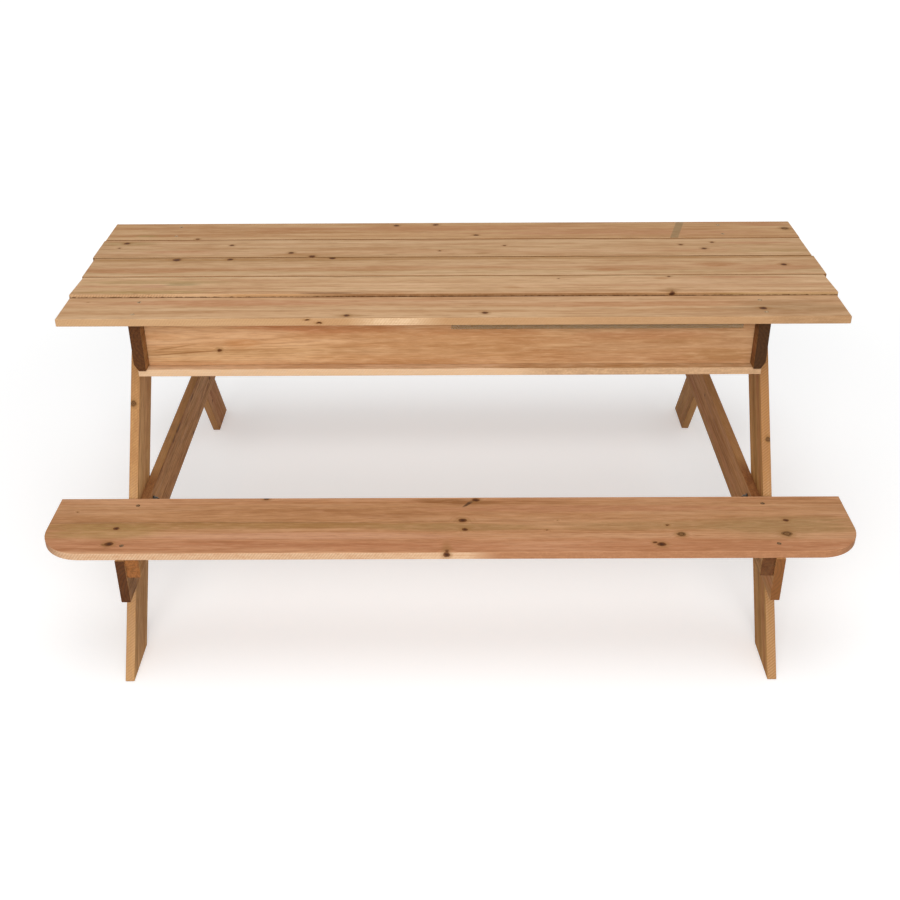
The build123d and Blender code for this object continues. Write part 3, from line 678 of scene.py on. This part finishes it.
bump = addNode(tree, "ShaderNodeBump", {"Strength": strength, "Distance": depth * mm},
               {"Height": cloud.outputs[0]})
shader = addNode(tree, "ShaderNodeBsdfPrincipled", {"Metallic": 1.0},
                 {"Base Color": tone.outputs[2], "Roughness": rough.outputs[0], "Normal": bump.outputs[0]})
addNode(tree, "ShaderNodeOutputMaterial", {}, {"Surface": shader.outputs[0]})
for name in zincPlate["nodes"]:
    giveMaterial(name, material)

# bright-drawn steel nails gone dull: grey-brown heads with rust freckles, worn paler on the top
nailSteel = {
    "drawnSteelDull": {"steel": "#7E5F40", "rust": "#46301C", "freckle": 1.6, "roughness": (0.55, 0.85),
                       "nodes": ("bench_nails", "cleat_nails", "floor_nails", "apron_screws", "lid_screws")},
    "drawnSteelWorn": {"steel": "#B89A74", "rust": "#5E4228", "freckle": 1.8, "roughness": (0.50, 0.80),
                       "nodes": ("top_plank_nails",)},
}
rustyShine = {"Metallic": 0.1, "Specular IOR Level": 0.25}    # a coat of rust hides most of the metal
for finish, steel in nailSteel.items():
    material, tree = newMaterial(finish)
    coords = addNode(tree, "ShaderNodeTexCoord")
    freckle = addNode(tree, "ShaderNodeTexNoise", {"Scale": 1 / (steel["freckle"] * mm), "Detail": 3.0},
                      {"Vector": coords.outputs["Object"]})
    spots = addNode(tree, "ShaderNodeMapRange", {"From Min": 0.45, "From Max": 0.62},
                    {"Value": freckle.outputs[0]})
    tone = addNode(tree, "ShaderNodeMix",
                   {"data_type": "RGBA", 6: linear(steel["steel"]), 7: linear(steel["rust"])},
                   {0: spots.outputs[0]})
    smooth, coarse = steel["roughness"]
    rough = addNode(tree, "ShaderNodeMapRange", {"To Min": smooth, "To Max": coarse},
                    {"Value": spots.outputs[0]})
    shader = addNode(tree, "ShaderNodeBsdfPrincipled", rustyShine,
                     {"Base Color": tone.outputs[2], "Roughness": rough.outputs[0]})
    addNode(tree, "ShaderNodeOutputMaterial", {}, {"Surface": shader.outputs[0]})
    for name in steel["nodes"]:
        giveMaterial(name, material)

# clear polypropylene, vacuum-formed thin: milky see-through with soft glints
# the lip tone is a painted shade for the lip under the top's overhang
clearPlastic = {"tint": "#A39A7A", "haze": "#7E765A", "lip": "#655C34", "hazeSize": 60.0, "lipFade": 1.0,
                "roughness": (0.16, 0.28), "relief": (0.05, 0.6), "shine": 0.8, "opaque": 0.3,
                "nodes": ("sand_tub", "water_tub")}
material, tree = newMaterial("clearPolypropyleneFormed")
coords = addNode(tree, "ShaderNodeTexCoord")
haze = addNode(tree, "ShaderNodeTexNoise", {"Scale": 1 / (clearPlastic["hazeSize"] * mm), "Detail": 1.5},
               {"Vector": coords.outputs["Object"]})
tone = addNode(tree, "ShaderNodeMix", {
    "data_type": "RGBA", 6: linear(clearPlastic["tint"]), 7: linear(clearPlastic["haze"]),
}, {0: haze.outputs[0]})
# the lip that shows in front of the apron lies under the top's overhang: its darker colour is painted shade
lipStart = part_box("apron_front")[0].y
places = addNode(tree, "ShaderNodeSeparateXYZ", {}, {0: coords.outputs["Object"]})
lipInShade = addNode(tree, "ShaderNodeMapRange",
                {"From Min": lipStart + clearPlastic["lipFade"] * mm, "From Max": lipStart},
                {"Value": places.outputs[1]})
tone = addNode(tree, "ShaderNodeMix", {"data_type": "RGBA", 7: linear(clearPlastic["lip"])},
               {0: lipInShade.outputs[0], 6: tone.outputs[2]})
smooth, coarse = clearPlastic["roughness"]
rough = addNode(tree, "ShaderNodeMapRange",
                {"From Min": 0.3, "From Max": 0.7, "To Min": smooth, "To Max": coarse},
                {"Value": haze.outputs[0]})
strength, depth = clearPlastic["relief"]
ripple = addNode(tree, "ShaderNodeBump", {"Strength": strength, "Distance": depth * mm},
                 {"Height": haze.outputs[0]})
shader = addNode(tree, "ShaderNodeBsdfPrincipled", {
    "IOR": 1.49, "Specular IOR Level": clearPlastic["shine"], "Alpha": clearPlastic["opaque"],
}, {"Base Color": tone.outputs[2], "Roughness": rough.outputs[0], "Normal": ripple.outputs[0]})
addNode(tree, "ShaderNodeOutputMaterial", {}, {"Surface": shader.outputs[0]})
for name in clearPlastic["nodes"]:
    giveMaterial(name, material)
print("fastenings and tubs finished")

# camera fitted to the photograph
cameraSettings = {"place": (0.00186, -1.8613, 1.2383), "pitch": -30.217, "turn": -0.184, "roll": -0.308,
                  "lens": 48.03, "sensor": 36.0, "farthest": 50.0}
cameraData = bpy.data.cameras.new("photoCamera")
cameraData.sensor_width = cameraSettings["sensor"]
cameraData.lens = cameraSettings["lens"]
cameraData.clip_end = cameraSettings["farthest"]
camera = bpy.data.objects.new("photoCamera", cameraData)
scene.collection.objects.link(camera)
turn = Matrix.Rotation(math.radians(-cameraSettings["turn"]), 4, "Z")
tilt = Matrix.Rotation(math.radians(90 + cameraSettings["pitch"]), 4, "X")
roll = Matrix.Rotation(math.radians(cameraSettings["roll"]), 4, "Z")
camera.matrix_world = Matrix.Translation(cameraSettings["place"]) @ turn @ tilt @ roll
scene.camera = camera

# soft light from the front and from above, the rest from all round
skyFill = 0.42
lampSettings = {
    "softKey": {"place": (-0.1, -3.5, 2.1), "aim": (0, 0, 0.35), "size": 2.4, "power": 92.0},
    "softTop": {"place": (0, -0.6, 3.4), "aim": (0, -0.2, 0.4), "size": 3.0, "power": 34.0},
}
for name, settings in lampSettings.items():
    lampData = bpy.data.lights.new(name, "AREA")
    lampData.shape = "DISK"
    lampData.size = settings["size"]
    lampData.energy = settings["power"]
    lamp = bpy.data.objects.new(name, lampData)
    scene.collection.objects.link(lamp)
    lamp.location = settings["place"]
    direction = Vector(settings["aim"]) - Vector(settings["place"])
    lamp.rotation_euler = direction.to_track_quat("-Z", "Y").to_euler()


# 1 where the camera looks straight at a surface, sees it mirrored or sees it through glass
def seenByCamera(tree):
    path = addNode(tree, "ShaderNodeLightPath")
    seen = path.outputs["Is Camera Ray"]
    for ray in ("Is Glossy Ray", "Is Transmission Ray"):
        seen = addNode(tree, "ShaderNodeMath", {"operation": "MAXIMUM"},
                       {0: seen, 1: path.outputs[ray]}).outputs[0]
    return seen


# the sky lights evenly and is seen as plain white
world = bpy.data.worlds.new("softSky")
scene.world = world
world.use_nodes = True
sky = world.node_tree
sky.nodes.clear()
level = addNode(sky, "ShaderNodeMapRange", {"To Min": skyFill, "To Max": 1.0}, {"Value": seenByCamera(sky)})
background = addNode(sky, "ShaderNodeBackground", {"Color": white}, {"Strength": level.outputs[0]})
addNode(sky, "ShaderNodeOutputWorld", {}, {"Surface": background.outputs[0]})

# white floor that keeps a soft shadow
floorSettings = {"size": 12.0, "colour": "#E9E9E9", "near": 0.9, "far": 2.6, "lift": (0.34, 0.72)}
bpy.ops.object.select_all(action="DESELECT")
bpy.ops.mesh.primitive_plane_add(size=floorSettings["size"], location=(0, 0, 0))
floor = bpy.context.object
floor.name = "floor"
material, tree = newMaterial("whiteFloorMatt")
coords = addNode(tree, "ShaderNodeTexCoord")
reach = addNode(tree, "ShaderNodeVectorMath", {"operation": "LENGTH"}, {0: coords.outputs["Object"]})
glowLevel = addNode(tree, "ShaderNodeMapRange", {
    "interpolation_type": "SMOOTHSTEP", "From Min": floorSettings["near"], "From Max": floorSettings["far"],
    "To Min": floorSettings["lift"][0], "To Max": floorSettings["lift"][1],
}, {"Value": reach.outputs["Value"]})
lift = addNode(tree, "ShaderNodeMath", {"operation": "MULTIPLY"},
               {0: seenByCamera(tree), 1: glowLevel.outputs[0]})
matt = addNode(tree, "ShaderNodeBsdfDiffuse", {"Color": linear(floorSettings["colour"])})
glow = addNode(tree, "ShaderNodeEmission", {"Color": white}, {"Strength": lift.outputs[0]})
both = addNode(tree, "ShaderNodeAddShader", {}, {0: matt.outputs[0], 1: glow.outputs[0]})
addNode(tree, "ShaderNodeOutputMaterial", {}, {"Surface": both.outputs[0]})
floor.data.materials.append(material)
print("camera, light and floor finished")
